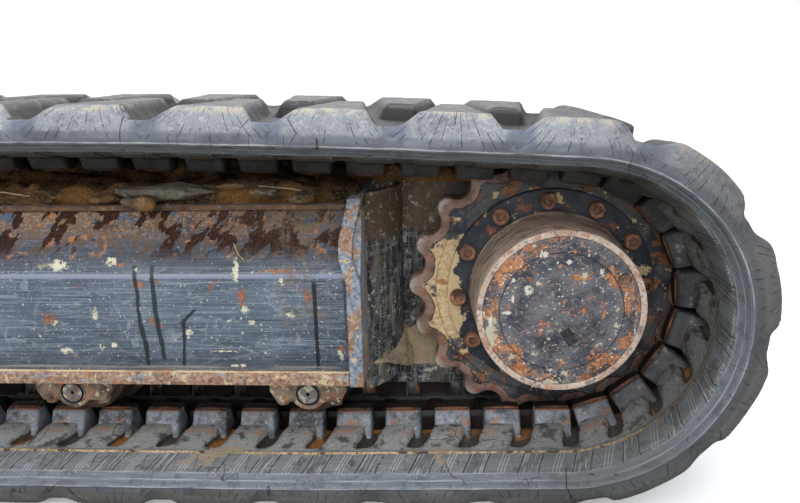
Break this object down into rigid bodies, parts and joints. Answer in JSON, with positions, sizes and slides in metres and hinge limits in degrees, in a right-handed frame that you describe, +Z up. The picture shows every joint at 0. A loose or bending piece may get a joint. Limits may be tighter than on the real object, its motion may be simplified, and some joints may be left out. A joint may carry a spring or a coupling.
{
  "type": "rubber track unit of a crawler excavator",
  "caption": "Left-hand track unit of a midi excavator: rubber track round a drive sprocket, rollers and an idler, on a box frame with bolted legs.",
  "frame": {"origin": "on the ground, under the middle of the unit's bounding box", "axes": "+X along the track towards the drive sprocket, +Y inboard towards the machine's middle, +Z up"},
  "size_m": [2.8058, 0.62, 0.6119],
  "materials": {
    "track_rubber": "worn moulded rubber, dusty",
    "core_steel": "rusty forged steel",
    "sprocket_steel": "worn brown steel with paint left on the web",
    "drive_paint": "dark blue-grey paint, worn at the rim",
    "cover_paint": "dark blue-grey paint, chipped and rusting",
    "plug_steel": "worn steel",
    "motor_paint": "dark grey paint",
    "frame_paint": "dark blue-grey paint, scratched",
    "frame_rust": "paint worn to rust",
    "wheel_iron": "dark cast iron, treads worn",
    "shaft_steel": "dull steel",
    "bracket_iron": "rusty cast iron"
  },
  "bodies": {
    "root": {"rubber_track": "track_rubber", "track_cores": "core_steel", "sprocket": "sprocket_steel", "drive_housing": "drive_paint", "drive_cover": "cover_paint", "drive_plugs": "plug_steel", "travel_motor": "motor_paint", "port_block": "motor_paint", "mount_plate": "frame_paint", "neck_plate": "frame_paint", "neck_floor": "frame_paint", "outer_side_plate": "frame_paint", "inner_side_plate": "frame_paint", "top_plate": "frame_rust", "outer_flange": "frame_rust", "inner_flange": "frame_paint", "end_plate": "frame_rust", "front_plate": "frame_paint", "outer_fork": "frame_paint", "inner_fork": "frame_paint", "idler": "wheel_iron", "idler_shaft": "shaft_steel", "idler_blocks": "wheel_iron", "idler_yoke": "frame_paint", "bottom_rollers": "wheel_iron", "roller_shafts": "shaft_steel", "roller_brackets": "bracket_iron", "carrier_roller": "wheel_iron", "carrier_shaft": "shaft_steel", "carrier_ears": "frame_paint", "rear_leg": "frame_paint", "front_leg": "frame_paint", "rear_leg_flange": "frame_paint", "front_leg_flange": "frame_paint", "grease_cover": "frame_paint"}
  },
  "joints": []
}
